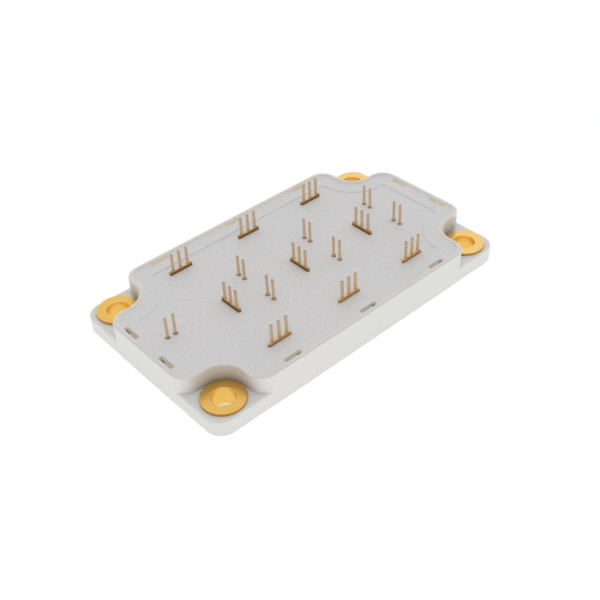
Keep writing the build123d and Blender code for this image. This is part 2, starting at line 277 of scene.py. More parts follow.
class Effects:
    """Surface effects that several finishes share, each built once as a node group."""

    def __init__(self) -> None:
        """Build the groups."""
        self.grain = self._moulded_grain()
        self.lines = self._brushed_lines()
        self.rings = self._turned_rings()
        self.specks = self._specks()
        self.combs = self._comb_rows()

    @staticmethod
    def _moulded_grain() -> Tree:
        """Fine spark-eroded grain, and a slow mottle from the flow of the melt along X.

        Returns:
            The group, with the outputs Height and Mottle.
        """
        sheet = EffectGroup("moulded_grain", grain_size=0.2 * MM, flow_size=20 * MM)
        place = sheet.given["Place"]
        flow_stretch = 0.4
        stretched = sheet.make("ShaderNodeMapping", {"Vector": place, "Scale": (flow_stretch, 1.0, 1.0)})
        return sheet.end(
            height=sheet.noise(place, sheet.given["Grain Size"], detail=3.0, roughness=0.6),
            mottle=sheet.noise(stretched, sheet.given["Flow Size"], detail=4.0),
        )

    @staticmethod
    def _brushed_lines() -> Tree:
        """Parallel scratches along X of the given place, as left by rolling or brushing.

        Returns:
            The group, with the outputs Height and Streak.
        """
        sheet = EffectGroup("brushed_lines", line_width=0.1 * MM, line_length=10 * MM)
        width = sheet.given["Line Width"]
        lines_per_streak = 7.0
        ratio = sheet.math("DIVIDE", width, sheet.given["Line Length"])
        squeeze = sheet.make("ShaderNodeCombineXYZ", {"X": ratio, "Y": 1.0, "Z": 1.0})
        along = sheet.make("ShaderNodeVectorMath", {0: sheet.given["Place"], 1: squeeze}, operation="MULTIPLY")
        return sheet.end(
            height=sheet.noise(along, width, roughness=0.7),
            streak=sheet.noise(along, sheet.math("MULTIPLY", width, lines_per_streak), detail=1.0),
        )

    @staticmethod
    def _turned_rings() -> Tree:
        """Rings left by a lathe tool round four axes at plus and minus Centre X and Centre Y.

        Returns:
            The group, with the outputs Height, Ring, Reach (from the nearest axis) and Inward (near 1 on the side of
            the axis that faces the middle of the part).
        """
        sheet = EffectGroup("turned_rings", centre_x=0.0, centre_y=0.0, pitch=0.1 * MM)
        laps_per_metre, laps_per_patch, groove_share = 3000.0, 3.0, 0.25
        fold = sheet.make("ShaderNodeVectorMath", {0: sheet.given["Place"]}, operation="ABSOLUTE")
        x, y, z = sheet.split(fold)
        from_x = sheet.math("SUBTRACT", x, sheet.given["Centre X"])
        from_y = sheet.math("SUBTRACT", y, sheet.given["Centre Y"])
        squares = [sheet.math("POWER", part, 2.0) for part in (from_x, from_y)]
        reach = sheet.math("SQRT", sheet.math("ADD", *squares))
        turn = sheet.math("DIVIDE", reach, sheet.given["Pitch"])
        lap = sheet.make("ShaderNodeCombineXYZ", {"X": turn, "Y": sheet.math("MULTIPLY", z, laps_per_metre)})
        uneven = sheet.noise(lap, laps_per_patch)
        groove = sheet.math("SINE", sheet.math("MULTIPLY", turn, 2.0 * math.pi))
        across = sheet.math("DIVIDE", sheet.math("ADD", from_x, from_y), reach)
        return sheet.end(
            height=sheet.math("MULTIPLY_ADD", groove, groove_share, uneven),
            ring=uneven,
            reach=reach,
            inward=sheet.math("MULTIPLY", across, -math.sqrt(0.5)),
        )

    @staticmethod
    def _specks() -> Tree:
        """Sparse small specks, such as dust or inclusions.

        Returns:
            The group, with the output Mask.
        """
        sheet = EffectGroup("specks", size=0.3 * MM, share=0.02)
        spot_edge = (0.12, 0.3)
        scale = sheet.math("DIVIDE", 1.0, sheet.given["Size"])
        cells = sheet.add("ShaderNodeTexVoronoi", {"Vector": sheet.given["Place"], "Scale": scale}).outputs
        chance = sheet.make("ShaderNodeSeparateColor", {"Color": cells["Color"]})
        chosen = sheet.math("LESS_THAN", chance, sheet.given["Share"])
        return sheet.end(mask=sheet.math("MULTIPLY", chosen, sheet.fall(cells["Distance"], spot_edge)))

    @staticmethod
    def _comb_rows() -> Tree:
        """Distances along and across the nearest power comb, from its middle.

        Returns:
            The group, with the outputs Run and Across.
        """
        sheet = EffectGroup(
            "comb_rows", pitch=25.4 * MM, columns=3.0, row_y=21 * MM, cross_y=0.0, cross_reach=6 * MM, shift=0.0
        )
        given = sheet.given
        x, y, _ = sheet.split(given["Place"])
        half = sheet.math("MULTIPLY", given["Pitch"], 0.5)
        below = sheet.math("MULTIPLY", half, -1.0)
        shifted = sheet.math("MULTIPLY_ADD", sheet.math("SIGN", y), given["Shift"], x)
        off_column, off_cross = (
            sheet.math("ABSOLUTE", sheet.math("WRAP", along, half, below)) for along in (shifted, x)
        )
        off_row, off_middle = (
            sheet.math("ABSOLUTE", sheet.math("SUBTRACT", side, line))
            for side, line in ((sheet.math("ABSOLUTE", y), given["Row Y"]), (y, given["Cross Y"]))
        )
        crossed = sheet.math("LESS_THAN", off_middle, given["Cross Reach"])
        end = sheet.math("MULTIPLY", half, given["Columns"])
        past_end = sheet.math("GREATER_THAN", sheet.math("ABSOLUTE", x), end)
        return sheet.end(
            run=sheet.math("ADD", sheet.between(crossed, off_column, off_middle), past_end),
            across=sheet.between(crossed, off_row, off_cross),
        )


EFFECTS = Effects()


class Surface(Sheet):
    """A material in the making, on the object's coordinates."""

    def __init__(self, name: str) -> None:
        """Start a material with a Principled shader.

        Args:
            name: its name.
        """
        self.material = bpy.data.materials.new(name)
        self.material.use_nodes = True
        super().__init__(self.material.node_tree)
        self.place = self.add("ShaderNodeTexCoord").outputs["Object"]

    def effect(self, group: Tree, **values: Number) -> list[Socket]:
        """Put an effect on the surface.

        Args:
            group: one of the shared groups.
            values: its inputs by label; its place is the object's coordinates unless it is given.

        Returns:
            The outputs of the group, in order.
        """
        inputs = {"Place": self.place} | {spelt(label): value for label, value in values.items()}
        return list(self.add("ShaderNodeGroup", inputs, node_tree=group).outputs)

    def rings(self, centre_x: float, centre_y: float, pitch: float = MM) -> list[Socket]:
        """Height, ring, reach and inward side of the rings round the four screws."""
        return self.effect(EFFECTS.rings, centre_x=centre_x, centre_y=centre_y, pitch=pitch)

    def mottled(self, mottle: Socket, first: Tone, second: Tone, share: float, span: Span = MOTTLE_SPAN) -> Socket:
        """Colour that wanders from the first to the second, up to a share, over a span of the mottle."""
        return self.tint(self.rise(mottle, span, share), first, second)

    def vary(self, middle: float, value: Socket, spread: float = 0.2) -> Socket:
        """Number that varies round its middle with a value from 0 to 1."""
        return self.math("MULTIPLY_ADD", value, spread, middle - spread / 2)

    def finish(
        self, colour: Socket, roughness: Socket, height: Socket, depth: float, metallic: float = 0.0,
        specular: float = 0.5,
    ) -> Material:
        """Feed the shader.

        Args:
            colour: the base colour.
            roughness: the roughness.
            height: the fine relief, from 0 to 1.
            depth: what a height of 1 measures.
            metallic: how metallic the surface is.
            specular: how strongly a surface that isn't metallic shines.

        Returns:
            The material.
        """
        bump = self.make("ShaderNodeBump", {"Height": height, "Distance": depth, "Strength": 1.0})
        shader = self.tree.nodes["Principled BSDF"]
        for name, value in (
            ("Base Color", colour), ("Roughness", roughness), ("Normal", bump), ("Metallic", metallic),
            ("Specular IOR Level", specular),
        ):
            self.feed(shader.inputs[name], value)
        return self.material


def darker(colour: Colour) -> Colour:
    """The colour at four fifths of its level."""
    return tuple(0.8 * part for part in colour)


@dataclass(frozen=True)
class CombLayout:
    """Where the power combs stand, as in the solids."""

    pitch: float = 25.4 * MM
    row_y: float = 21.45 * MM
    cross_y: float = -1.5 * MM
    shift: float = 0.25 * MM
    half_length: float = 3.8 * MM
    half_width: float = 0.35 * MM

    def distances(self, sheet: Surface) -> list[Socket]:
        """Distances along and across the nearest comb, from its middle."""
        return sheet.effect(
            EFFECTS.combs, pitch=self.pitch, row_y=self.row_y, cross_y=self.cross_y, shift=self.shift
        )


@dataclass(frozen=True)
class MouldedPlastic:
    """Filled thermoplastic from a spark-eroded mould."""

    name: str
    colour: Colour
    cool: Colour
    roughness: Span = (0.44, 0.58)
    specular: float = 0.4
    grain_size: float = 0.4 * MM
    grain_depth: float = 0.015 * MM
    grain_share: float = 0.3
    flow_size: float = 16 * MM
    flow_share: float = 0.5
    speck_size: float = 0.9 * MM
    speck_density: float = 0.012
    speck_colour: Colour = (0.5, 0.48, 0.44)
    speck_share: float = 0.1

    def build(self) -> Material:
        """Build the material.

        Returns:
            The material.
        """
        sheet = Surface(self.name)
        grain, mottle = sheet.effect(EFFECTS.grain, grain_size=self.grain_size, flow_size=self.flow_size)
        (specks,) = sheet.effect(EFFECTS.specks, size=self.speck_size, share=self.speck_density)
        colour = sheet.mottled(mottle, self.colour, self.cool, self.flow_share)
        colour = sheet.mottled(grain, colour, darker(self.colour), self.grain_share, NOISE_SPAN)
        colour = sheet.tint(sheet.math("MULTIPLY", specks, self.speck_share), colour, self.speck_colour)
        roughness = sheet.remap(grain, NOISE_SPAN, *self.roughness)
        return sheet.finish(self.stains_and_painted_light(sheet, colour), roughness, grain, self.grain_depth, specular=self.specular)

    def stains_and_painted_light(self, sheet: Surface, colour: Socket) -> Socket:
        """Colour after stains and painted light and shade; plain plastic has none."""
        return colour


@dataclass(frozen=True)
class FramePlastic(MouldedPlastic):
    """Plastic of the case frame: greyed rim, a sealant tint with painted light on the rim's inner wall, and painted
    shade down the scoops.
    """

    mount_x: float = 0.0
    mount_y: float = 0.0
    half_x: float = 0.0
    half_y: float = 0.0
    scoop_radius: float = 6.6 * MM
    wall: Span = (0.54 * MM, 0.9 * MM)
    rim_heights: Span = (10.15 * MM, 10.45 * MM)
    rim_share: float = 0.85
    rim_grey: Colour = (0.60, 0.60, 0.585)
    smear_with_painted_light: Colour = (0.95, 0.86, 0.74)
    smear_light_share: float = 0.8
    smear_light_foot: Span = (9.5 * MM, 9.8 * MM)
    smear_light_head: Span = (10.3 * MM, 10.47 * MM)
    smear_light_on_rim: float = 0.15
    smear_light_gap_x: Span = (-32 * MM, -30 * MM)
    smear_light_gap_y: Span = (-2 * MM, 0.0)
    scoop_shade_high: Colour = (0.95, 0.87, 0.80)
    scoop_shade_low: Colour = (0.66, 0.59, 0.51)
    scoop_shade_heights: Span = (5.0 * MM, 9.4 * MM)
    scoop_shade_foot: Span = (5.05 * MM, 5.6 * MM)
    scoop_shade_head: Span = (10.2 * MM, 10.5 * MM)
    scoop_shade_reach: Span = (7.0 * MM, 9.5 * MM)
    scoop_shade_middle: Span = (0.2, 0.98)
    scoop_shade_ends: float = 0.65

    def stains_and_painted_light(self, sheet: Surface, colour: Socket) -> Socket:
        """Lay the rim's grey, the sealant tint with painted light on the inner wall, and the painted shade of the
        scoops over the colour.

        Args:
            sheet: the material in the making.
            colour: the colour of the clean plastic.

        Returns:
            The stained colour.
        """
        height = sheet.split(sheet.place)[2]
        _, _, reach, inward = sheet.rings(self.mount_x, self.mount_y)
        colour = sheet.tint(sheet.rise(height, self.rim_heights, self.rim_share), colour, self.rim_grey)
        # Sealant tint on the rim's inner wall, made pale as painted light that lifts the wall out of its shade.
        colour = sheet.tint(self.smear_light_mask(sheet, reach), colour, self.smear_with_painted_light)
        # Painted shade: the scoop walls darken down towards the flange and ring, as the shade that falls there.
        shade = sheet.tint(sheet.fall(height, self.scoop_shade_heights), self.scoop_shade_high, self.scoop_shade_low)
        scoop_shade_mask = sheet.product(
            sheet.fall(reach, self.scoop_shade_reach),
            sheet.rise(height, self.scoop_shade_foot),
            sheet.fall(height, self.scoop_shade_head),
            sheet.remap(inward, self.scoop_shade_middle, self.scoop_shade_ends, 1.0),
        )
        return sheet.tint(scoop_shade_mask, colour, shade, Blend.MULTIPLY)

    def smear_light_mask(self, sheet: Surface, reach: Socket) -> Number:
        """Share of the sealant tint and painted light: on the rim's inner wall, but for the corner at minus X and
        minus Y.

        Args:
            sheet: the material in the making.
            reach: the distance from the nearest screw's axis.

        Returns:
            The share.
        """
        near, far = self.wall
        x, y, height = sheet.split(sheet.place)
        return sheet.product(
            sheet.fall(sheet.math("ABSOLUTE", x), (self.half_x - far, self.half_x - near)),
            sheet.fall(sheet.math("ABSOLUTE", y), (self.half_y - far, self.half_y - near)),
            sheet.rise(reach, (self.scoop_radius + near, self.scoop_radius + far), self.smear_light_share),
            sheet.rise(height, self.smear_light_foot),
            sheet.remap(height, self.smear_light_head, 1.0, self.smear_light_on_rim),
            sheet.math("MAXIMUM", sheet.rise(x, self.smear_light_gap_x), sheet.rise(y, self.smear_light_gap_y)),
        )


@dataclass(frozen=True)
class LidPlastic(MouldedPlastic):
    """Plastic of the lid, with painted shadow along the slots of the combs and painted light down the step to its
    field.
    """

    combs: CombLayout = CombLayout()
    slot_shadow_colour: Colour = (0.50, 0.41, 0.30)
    slot_shadow_gap: Span = (0.1 * MM, 0.55 * MM)
    slot_shadow_share: float = 0.7
    front_slot_shadow_share: float = 0.1
    front_slot_shadow_y: Span = (-15 * MM, -10 * MM)
    end_pull: float = 0.4 * MM
    step_light_foot: Span = (9.8 * MM, 9.86 * MM)
    step_light_head: Span = (10.04 * MM, 10.1 * MM)
    step_painted_light: Colour = (0.9, 0.9, 0.9)
    step_light_share: float = 0.45

    def stains_and_painted_light(self, sheet: Surface, colour: Socket) -> Socket:
        """Lay the painted light down the step and the painted shadow round the slots, weaker in the row at minus Y,
        over the colour.

        Args:
            sheet: the material in the making.
            colour: the colour of the clean plastic.

        Returns:
            The stained colour.
        """
        _, y, height = sheet.split(sheet.place)
        # Painted light: the wall of the step down to the field is made paler, to lift the shade that falls in it.
        step = sheet.product(sheet.rise(height, self.step_light_foot, self.step_light_share), sheet.fall(height, self.step_light_head))
        colour = sheet.tint(step, colour, self.step_painted_light)
        # Painted shadow: the lid darkens round each comb slot, as the shadow under the bar.
        run, across = self.combs.distances(sheet)
        past_end = sheet.math("SUBTRACT", run, self.combs.half_length - self.end_pull)
        past_side = sheet.math("SUBTRACT", across, self.combs.half_width)
        share = sheet.remap(y, self.front_slot_shadow_y, self.front_slot_shadow_share, self.slot_shadow_share)
        mask = sheet.fall(sheet.math("MAXIMUM", past_end, past_side), self.slot_shadow_gap, share)
        return sheet.tint(mask, colour, self.slot_shadow_colour, Blend.MULTIPLY)


@dataclass(frozen=True)
class TurnedBrass:
    """Turned brass with fine tool rings, a pebbled plated face, a painted sheen towards plus X, a reamed bore lifted
    with painted light, and painted shade on its outer side.
    """

    name: str
    mount_x: float
    mount_y: float
    colour: Colour = (0.82, 0.515, 0.14)
    deep: Colour = (0.72, 0.405, 0.085)
    deep_span: Span = (0.35, 0.7)
    deep_share: float = 0.3
    painted_sheen: Colour = (0.86, 0.575, 0.21)
    painted_sheen_share: float = 0.8
    roughness: float = 0.18
    ring_pitch: float = 0.11 * MM
    ring_depth: float = 0.004 * MM
    ring_roughness: float = 0.12
    pebble_size: float = 0.35 * MM
    pebble_share: float = 0.35
    pebble_roughness: float = 0.1
    patch_size: float = 2.5 * MM
    bore_reach: Span = (3.22 * MM, 3.4 * MM)
    bore_painted_light: Colour = (0.93, 0.65, 0.21)
    bore_roughness: float = -0.08
    edge_shade_reach: Span = (5.98 * MM, 6.07 * MM)
    edge_shade_colour: Colour = (0.55, 0.31, 0.10)
    edge_shade_share: float = 0.7

    def build(self) -> Material:
        """Build the material.

        Returns:
            The material.
        """
        sheet = Surface(self.name)
        groove, ring, reach, _ = sheet.rings(self.mount_x, self.mount_y, self.ring_pitch)
        pebble, mottle = sheet.effect(EFFECTS.grain, grain_size=self.pebble_size, flow_size=self.patch_size)
        blotched = sheet.rise(mottle, self.deep_span, self.deep_share)
        pebbled = sheet.rise(pebble, MOTTLE_SPAN, self.pebble_share)
        # Painted reflection: the brass turns paler towards plus X, as the whiter sheen of the far rings at grazing
        # view.
        painted_sheen_mask = sheet.rise(sheet.split(sheet.place)[0], (-self.mount_x / 2, self.mount_x / 2), self.painted_sheen_share)
        # The bore is reamed smoother, and its colour is lifted as painted light for its brightly lit far wall.
        bore = sheet.fall(reach, self.bore_reach)
        # Painted shade: the ring's outer side is darkened, as the shade where the ring stands on the flange.
        edge = sheet.rise(reach, self.edge_shade_reach, self.edge_shade_share)
        colour = sheet.tint(sheet.math("ADD", blotched, pebbled), self.colour, self.deep)
        for share, over in ((painted_sheen_mask, self.painted_sheen), (bore, self.bore_painted_light), (edge, self.edge_shade_colour)):
            colour = sheet.tint(share, colour, over)
        roughness: Number = self.roughness
        for value, share in (
            (bore, self.bore_roughness), (ring, self.ring_roughness), (pebble, self.pebble_roughness),
        ):
            roughness = sheet.math("MULTIPLY_ADD", value, share, roughness)
        return sheet.finish(colour, roughness, groove, self.ring_depth, metallic=1.0)


@dataclass(frozen=True)
class RolledContact:
    """Rolled copper alloy, satin, with a greyer cut tip and a darker foot where it leaves the lid."""

    name: str
    colour: Colour = (0.825, 0.615, 0.40)
    dark: Colour = (0.43, 0.245, 0.115)
    cut: Colour = (0.44, 0.37, 0.29)
    roughness: float = 0.4
    streak_spread: float = 0.16
    line_width: float = 0.05 * MM
    line_length: float = 1.6 * MM
    line_depth: float = 0.004 * MM
    patch_size: float = 3 * MM
    patch_share: float = 0.3
    tip_heights: Span = (16.25 * MM, 16.6 * MM)
    tip_share: float = 0.85
    foot_heights: Span = (9.9 * MM, 10.7 * MM)
    foot_share: float = 0.85

    def build(self) -> Material:
        """Build the material.

        Returns:
            The material.
        """
        sheet = Surface(self.name)
        upright = sheet.make("ShaderNodeMapping", {"Vector": sheet.place, "Rotation": (0.0, math.radians(90), 0.0)})
        line, streak = sheet.effect(
            EFFECTS.lines, place=upright, line_width=self.line_width, line_length=self.line_length
        )
        _, mottle = sheet.effect(EFFECTS.grain, flow_size=self.patch_size)
        height = sheet.split(sheet.place)[2]
        colour = sheet.mottled(mottle, self.colour, darker(self.colour), self.patch_share)
        colour = sheet.tint(sheet.rise(height, self.tip_heights, self.tip_share), colour, self.cut)
        colour = sheet.tint(self.foot(sheet, height), colour, self.dark)
        roughness = sheet.vary(self.roughness, streak, self.streak_spread)
        return sheet.finish(colour, roughness, line, self.line_depth, metallic=1.0)

    def foot(self, sheet: Surface, height: Socket) -> Socket:
        """Share of the dark colour, strongest at the lid."""
        return sheet.fall(height, self.foot_heights, self.foot_share)


@dataclass(frozen=True)
class CombContact(RolledContact):
    """Contact alloy of the combs, whose bar is darker than the prongs on it, partly as oxide and partly as painted
    shade from the slot.
    """

    combs: CombLayout = CombLayout()
    bar_heights: Span = (10.63 * MM, 10.72 * MM)
    shoulder_run: Span = (2.95 * MM, 3.15 * MM)
    shoulder_heights: Span = (10.8 * MM, 10.95 * MM)
    root_heights: Span = (10.75 * MM, 12.05 * MM)
    root_share: float = 0.4

    def foot(self, sheet: Surface, height: Socket) -> Socket:
        """Share of the dark colour, partly oxide and partly painted shade: the bar's faces, its shoulders, and the
        roots of the prongs.

        Args:
            sheet: the material in the making.
            height: the height over the baseplate's underside.

        Returns:
            The share.
        """
        run, _ = self.combs.distances(sheet)
        shoulder = sheet.product(
            sheet.rise(run, self.shoulder_run, self.foot_share), sheet.fall(height, self.shoulder_heights)
        )
        bar = sheet.fall(height, self.bar_heights, self.foot_share)
        root = sheet.fall(height, self.root_heights, self.root_share)
        return sheet.math("MAXIMUM", sheet.math("MAXIMUM", bar, root), shoulder)


@dataclass(frozen=True)
class BrushedMetal:
    """Sheet metal with a direction to its surface, such as plated copper or drawn aluminium."""

    name: str
    colour: Colour
    shade: Colour
    roughness: float = 0.32
    line_width: float = 0.08 * MM
    line_length: float = 9 * MM
    line_depth: float = 0.003 * MM
    patch_size: float = 7 * MM
    patch_share: float = 0.6

    def build(self) -> Material:
        """Build the material.

        Returns:
            The material.
        """
        sheet = Surface(self.name)
        line, streak = sheet.effect(EFFECTS.lines, line_width=self.line_width, line_length=self.line_length)
        _, mottle = sheet.effect(EFFECTS.grain, flow_size=self.patch_size)
        colour = sheet.mottled(mottle, self.colour, self.shade, self.patch_share, NOISE_SPAN)
        return sheet.finish(colour, sheet.vary(self.roughness, streak), line, self.line_depth, metallic=1.0)


@dataclass(frozen=True)
class FiredCeramic:
    """Fired ceramic: matt, finely pitted, with small dark grains."""

    name: str
    colour: Colour
    grain: Colour
    roughness: float = 0.6
    pit_size: float = 0.06 * MM
    pit_depth: float = 0.006 * MM
    patch_size: float = 4 * MM
    patch_share: float = 0.25
    grain_size: float = 0.25 * MM
    grain_density: float = 0.05

    def build(self) -> Material:
        """Build the material.

        Returns:
            The material.
        """
        sheet = Surface(self.name)
        pits, mottle = sheet.effect(EFFECTS.grain, grain_size=self.pit_size, flow_size=self.patch_size)
        (grains,) = sheet.effect(EFFECTS.specks, size=self.grain_size, share=self.grain_density)
        colour = sheet.mottled(mottle, self.colour, self.grain, self.patch_share)
        colour = sheet.tint(grains, colour, self.grain)
        return sheet.finish(colour, sheet.vary(self.roughness, pits), pits, self.pit_depth)


@dataclass(frozen=True)
class FacedSilicon:
    """Chip with an aluminium face, crossed by the darker lines of its cells."""

    name: str
    colour: Colour = (0.52, 0.53, 0.56)
    line: Colour = (0.12, 0.13, 0.17)
    roughness: float = 0.35
    metallic: float = 0.9
    cell: float = 1.25 * MM
    line_width: float = 0.03 * MM
    grain_size: float = 0.05 * MM
    grain_depth: float = 0.002 * MM
    patch_size: float = 2 * MM
    patch_share: float = 0.3

    def build(self) -> Material:
        """Build the material.

        Returns:
            The material.
        """
        sheet = Surface(self.name)
        cells = sheet.add("ShaderNodeTexBrick", {
            "Vector": sheet.place, "Scale": 1.0, "Brick Width": self.cell, "Row Height": self.cell,
            "Mortar Size": self.line_width,
        }, offset=0.0)
        grain, mottle = sheet.effect(EFFECTS.grain, grain_size=self.grain_size, flow_size=self.patch_size)
        colour = sheet.mottled(mottle, self.colour, darker(self.colour), self.patch_share)
        colour = sheet.tint(cells.outputs["Fac"], colour, self.line)
        roughness = sheet.vary(self.roughness, grain)
        return sheet.finish(colour, roughness, grain, self.grain_depth, metallic=self.metallic)


@dataclass(frozen=True)
class CuredGel:
    """Tan sealant, squeezed up and cured, and greyed towards minus X and minus Y."""

    name: str
    colour: Colour
    shade: Colour
    roughness: float = 0.45
    grain_size: float = 0.3 * MM
    grain_depth: float = 0.02 * MM
    patch_size: float = 3 * MM
    near_grey: Colour = (0.36, 0.34, 0.26)
    near_grey_share: float = 0.0
    near_grey_x: Span = (-52.4 * MM, -51.6 * MM)
    near_grey_y: Span = (-29.4 * MM, -28.6 * MM)
    near_greying: NearGreying = NearGreying.SIDES

    def build(self) -> Material:
        """Build the material.

        Returns:
            The material.
        """
        sheet = Surface(self.name)
        grain, mottle = sheet.effect(EFFECTS.grain, grain_size=self.grain_size, flow_size=self.patch_size)
        x, y, _ = sheet.split(sheet.place)
        at_end = sheet.fall(x, self.near_grey_x, self.near_grey_share)
        at_side = sheet.fall(y, self.near_grey_y, self.near_grey_share)
        colour = sheet.mottled(mottle, self.colour, self.shade, 1.0, NOISE_SPAN)
        colour = sheet.tint(sheet.math(self.near_greying.value, at_end, at_side), colour, self.near_grey)
        return sheet.finish(colour, sheet.vary(self.roughness, grain), grain, self.grain_depth)


def shown(name: str, data: bpy.types.ID) -> Piece:
    """Put a mesh, a lamp or a camera into the scene.

    Args:
        name: the name of its object.
        data: what the object shows.

    Returns:
        The object.
    """
    item = bpy.data.objects.new(name, data)
    bpy.context.scene.collection.objects.link(item)
    return item


def raw_mesh(
    name: str, points: Sequence[Point], edges: Sequence[Sequence[int]] = (), faces: Sequence[Sequence[int]] = ()
) -> Mesh:
    """Make a mesh.

    Args:
        name: its name.
        points: its vertices.
        edges: the numbers of each loose edge's ends.
        faces: the numbers of each face's corners.

    Returns:
        The mesh.
    """
    mesh = bpy.data.meshes.new(name)
    mesh.from_pydata(points, edges, faces)
    return mesh


def finished_mesh(source: Piece, name: str) -> Piece:
    """Turn an object with modifiers into a plain mesh at the origin and delete the source.

    Args:
        source: the object with its modifiers live.
        name: the name of the plain one.

    Returns:
        The plain object.
    """
    evaluated = source.evaluated_get(bpy.context.evaluated_depsgraph_get())
    mesh = bpy.data.meshes.new_from_object(evaluated)
    bpy.data.objects.remove(source)
    mesh.name = name
    return shown(name, mesh)


@dataclass(frozen=True)
class EdgeSoftening:
    """How the edges of a moulded or cut piece are broken, once its faces are welded and joined."""

    width: float
    segments: int = 2
    sharp: float = math.radians(33)
    weld: float = 0.0001 * MM
    flat: float = math.radians(0.3)


def softened_copy(node: str, name: str, softening: EdgeSoftening, material: Material) -> Piece:
    """Copy a CAD node with its sharp edges broken and its flats shaded flat.

    Args:
        node: the CAD node that the copy stands for.
        name: the name of the copy.
        softening: how the edges are broken.
        material: the finish.

    Returns:
        The copy, riding on the body and replacing the node.
    """
    shell = bmesh.new()
    shell.from_mesh(frame["nodes"][node].data)
    bmesh.ops.remove_doubles(shell, verts=shell.verts, dist=softening.weld)
    bmesh.ops.dissolve_limit(shell, angle_limit=softening.flat, verts=shell.verts, edges=shell.edges)
    sharp = [edge for edge in shell.edges if edge.is_manifold and edge.calc_face_angle(0.0) > softening.sharp]
    bmesh.ops.bevel(
        shell, geom=sharp, offset=softening.width, offset_type="OFFSET", segments=softening.segments,
        profile=0.5, affect="EDGES", clamp_overlap=True,
    )
    mesh = bpy.data.meshes.new(name)
    shell.to_mesh(mesh)
    shell.free()
    for face in mesh.polygons:
        face.use_smooth = True
    mesh.set_sharp_from_angle(angle=softening.sharp)
    mesh.materials.clear()
    mesh.materials.append(material)
    draft = shown(name + "_draft", mesh)
    draft.modifiers.new("normals", "WEIGHTED_NORMAL").keep_sharp = True
    copy = finished_mesh(draft, name)
    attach(copy, ROOT)
    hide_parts(node)
    return copy


class GrowthTree(Sheet):
    """A geometry node tree in the making, whose first input and only output are geometry."""

    def __init__(self, name: str, values: dict[str, Any]) -> None:
        """Start a tree.

        Args:
            name: its name.
            values: its further inputs with their defaults: floats, whole numbers, or else a material.
        """
        super().__init__(bpy.data.node_groups.new(name, "GeometryNodeTree"))
        for in_out in ("INPUT", "OUTPUT"):
            self.tree.interface.new_socket(name="Geometry", in_out=in_out, socket_type="NodeSocketGeometry")
        kinds = {float: "NodeSocketFloat", int: "NodeSocketInt"}
        for label, value in values.items():
            kind = kinds.get(type(value), "NodeSocketMaterial")
            socket = self.tree.interface.new_socket(name=label, in_out="INPUT", socket_type=kind)
            if value is not None:
                socket.default_value = value
        self.given = self.add("NodeGroupInput").outputs

    def rounded_box(self, width: Socket, height: Socket, radius: Socket, steps: int, limit: bool) -> Socket:
        """Rectangle with rounded corners.

        Args:
            width: its width.
            height: its height.
            radius: the radius of its corners.
            steps: how many points a corner gets.
            limit: whether the radius is kept from passing the middle of a side.

        Returns:
            The curve.
        """
        square = self.make("GeometryNodeCurvePrimitiveQuadrilateral", {"Width": width, "Height": height})
        inputs = {"Curve": square, "Radius": radius, "Count": steps, "Limit Radius": limit}
        return self.make("GeometryNodeFilletCurve", inputs, mode="POLY")

    def swept(self, path: Socket, profile: Socket, scale: Socket) -> Socket:
        """Closed bar along a path, with its profile scaled from point to point."""
        inputs = {"Curve": path, "Profile Curve": profile, "Scale": scale, "Fill Caps": True}
        return self.make("GeometryNodeCurveToMesh", inputs)

    def end(self, shape: Socket) -> Tree:
        """Make the shape real, dress it and end the tree.

        Args:
            shape: the shape that the tree grows.

        Returns:
            The tree.
        """
        real = self.make("GeometryNodeRealizeInstances", {"Geometry": shape})
        dressed = self.make("GeometryNodeSetMaterial", {"Geometry": real, "Material": self.given["Material"]})
        self.add("NodeGroupOutput", {"Geometry": dressed})
        return self.tree


def grow(base: Mesh, name: str, tree: Tree, values: dict[str, Any]) -> Piece:
    """Run a geometry tree on a mesh.

    Args:
        base: the points or the path that the tree works on.
        name: the name of the result.
        tree: the geometry tree.
        values: the tree's inputs, by name.

    Returns:
        The result as a plain mesh, riding on the body.
    """
    draft = shown(name + "_draft", base)
    modifier = draft.modifiers.new("grow", "NODES")
    modifier.node_group = tree
    sockets = {item.name: item.identifier for item in tree.interface.items_tree if item.in_out == "INPUT"}
    for label, value in values.items():
        modifier[sockets[label]] = value
    piece = finished_mesh(draft, name)
    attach(piece, ROOT)
    return piece


def bead_tree() -> Tree:
    """Geometry tree that lays an uneven bead along each path of the mesh.

    Returns:
        The tree.
    """
    sheet = GrowthTree("laid_bead", {
        "Width": 0.4 * MM, "Height": 0.4 * MM, "Roundness": 0.2 * MM, "Unevenness": 0.15, "Step": 0.6 * MM,
        "Seed": 0, "Material": None,
    })
    given = sheet.given
    path = sheet.make("GeometryNodeMeshToCurve", {"Mesh": given["Geometry"]})
    even = sheet.make("GeometryNodeResampleCurve", {"Curve": path, "Length": given["Step"]}, mode="LENGTH")
    level = sheet.make("GeometryNodeSetCurveNormal", {"Curve": even}, mode="Z_UP")
    least, most, result = 2, 3, 1
    thin = sheet.math("SUBTRACT", 1.0, given["Unevenness"])
    swell = sheet.add("FunctionNodeRandomValue", {least: thin, most: 1.0, "Seed": given["Seed"]}).outputs[result]
    profile = sheet.rounded_box(given["Width"], given["Height"], given["Roundness"], steps=4, limit=True)
    return sheet.end(sheet.make("GeometryNodeSetShadeSmooth", {"Geometry": sheet.swept(level, profile, swell)}))


BEAD_TREE = bead_tree()


